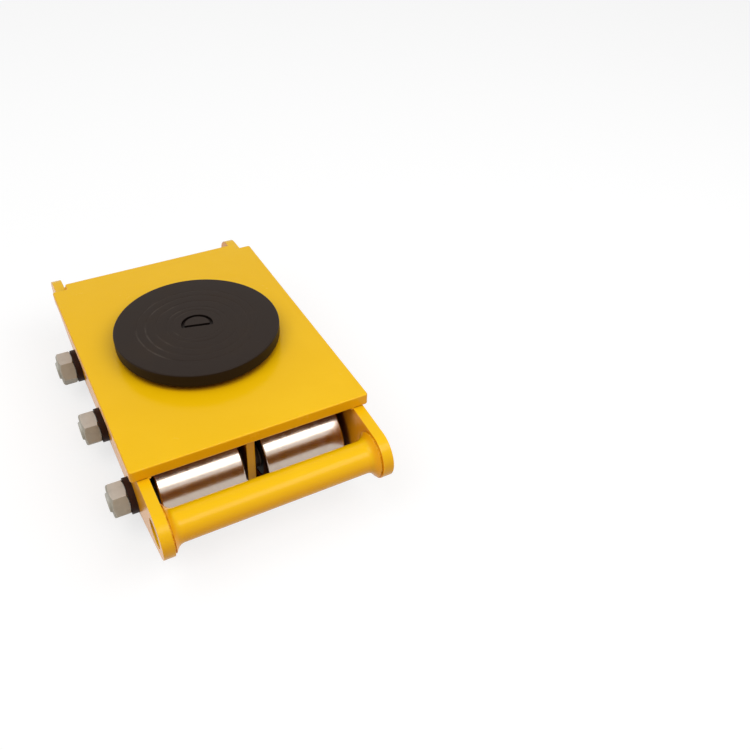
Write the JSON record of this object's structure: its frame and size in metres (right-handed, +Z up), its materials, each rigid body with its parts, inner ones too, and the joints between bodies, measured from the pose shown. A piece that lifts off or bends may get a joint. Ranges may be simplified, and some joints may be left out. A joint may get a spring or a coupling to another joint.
{
  "type": "machine skate",
  "caption": "Low steel trolley for moving machines: plated frame over rows of free steel rollers, with a swivel rubber pad on top and a tow tube at one end.",
  "frame": {"origin": "centre of the footprint, on the floor under the rollers", "axes": "+X to the skate's right, +Y towards the rear ears with the tow tube at -Y, +Z up"},
  "size_m": [0.254, 0.4068, 0.127],
  "materials": {
    "yellow_paint": "semi-gloss yellow paint over welded steel plate",
    "ground_steel": "ground and polished round the roller",
    "zinc_steel": "dull zinc plating",
    "black_steel": "blackened spring steel",
    "bearing_steel": "plain bearing steel",
    "pad_rubber": "matt moulded rubber with faint rings"
  },
  "bodies": {
    "chassis": {"top_plate": "yellow_paint", "side_plate_left": "yellow_paint", "side_plate_right": "yellow_paint", "centre_plate": "yellow_paint", "rear_cross_plate": "yellow_paint", "tow_tube": "yellow_paint", "divider_front_left": "yellow_paint", "divider_front_right": "yellow_paint", "divider_rear_left": "yellow_paint", "divider_rear_right": "yellow_paint", "axle_front": "zinc_steel", "spacer_front_left_outer": "bearing_steel", "spacer_front_left_inner": "bearing_steel", "lock_washer_front_left": "black_steel", "axle_nut_front_left": "zinc_steel", "spacer_front_right_outer": "bearing_steel", "spacer_front_right_inner": "bearing_steel", "lock_washer_front_right": "black_steel", "axle_nut_front_right": "zinc_steel", "axle_middle": "zinc_steel", "spacer_middle_left_outer": "bearing_steel", "spacer_middle_left_inner": "bearing_steel", "lock_washer_middle_left": "black_steel", "axle_nut_middle_left": "zinc_steel", "spacer_middle_right_outer": "bearing_steel", "spacer_middle_right_inner": "bearing_steel", "lock_washer_middle_right": "black_steel", "axle_nut_middle_right": "zinc_steel", "axle_rear": "zinc_steel", "spacer_rear_left_outer": "bearing_steel", "spacer_rear_left_inner": "bearing_steel", "lock_washer_rear_left": "black_steel", "axle_nut_rear_left": "zinc_steel", "spacer_rear_right_outer": "bearing_steel", "spacer_rear_right_inner": "bearing_steel", "lock_washer_rear_right": "black_steel", "axle_nut_rear_right": "zinc_steel", "pivot_pin": "bearing_steel", "retaining_clip": "black_steel", "ball_ring": "bearing_steel"},
    "roller_front_left_body": {"roller_front_left": "ground_steel", "bearing_front_left_outer": "bearing_steel", "bearing_front_left_inner": "bearing_steel"},
    "roller_front_right_body": {"roller_front_right": "ground_steel", "bearing_front_right_outer": "bearing_steel", "bearing_front_right_inner": "bearing_steel"},
    "roller_middle_left_body": {"roller_middle_left": "ground_steel", "bearing_middle_left_outer": "bearing_steel", "bearing_middle_left_inner": "bearing_steel"},
    "roller_middle_right_body": {"roller_middle_right": "ground_steel", "bearing_middle_right_outer": "bearing_steel", "bearing_middle_right_inner": "bearing_steel"},
    "roller_rear_left_body": {"roller_rear_left": "ground_steel", "bearing_rear_left_outer": "bearing_steel", "bearing_rear_left_inner": "bearing_steel"},
    "roller_rear_right_body": {"roller_rear_right": "ground_steel", "bearing_rear_right_outer": "bearing_steel", "bearing_rear_right_inner": "bearing_steel"},
    "swivel": {"turntable": "bearing_steel", "rubber_pad": "pad_rubber"}
  },
  "joints": [
    {"name": "roller_front_left_spin", "type": "hinge", "parent": "chassis", "child": "roller_front_left_body", "pos_m": [-0.049, -0.102, 0.04], "axis": [1, 0, 0], "continuous": true},
    {"name": "roller_front_right_spin", "type": "hinge", "parent": "chassis", "child": "roller_front_right_body", "pos_m": [0.049, -0.102, 0.04], "axis": [1, 0, 0], "continuous": true},
    {"name": "roller_middle_left_spin", "type": "hinge", "parent": "chassis", "child": "roller_middle_left_body", "pos_m": [-0.049, 0, 0.04], "axis": [1, 0, 0], "continuous": true},
    {"name": "roller_middle_right_spin", "type": "hinge", "parent": "chassis", "child": "roller_middle_right_body", "pos_m": [0.049, 0, 0.04], "axis": [1, 0, 0], "continuous": true},
    {"name": "roller_rear_left_spin", "type": "hinge", "parent": "chassis", "child": "roller_rear_left_body", "pos_m": [-0.049, 0.102, 0.04], "axis": [1, 0, 0], "continuous": true},
    {"name": "roller_rear_right_spin", "type": "hinge", "parent": "chassis", "child": "roller_rear_right_body", "pos_m": [0.049, 0.102, 0.04], "axis": [1, 0, 0], "continuous": true},
    {"name": "pad_swivel", "type": "hinge", "parent": "chassis", "child": "swivel", "pos_m": [0, 0, 0.114], "axis": [0, 0, 1], "continuous": true}
  ]
}
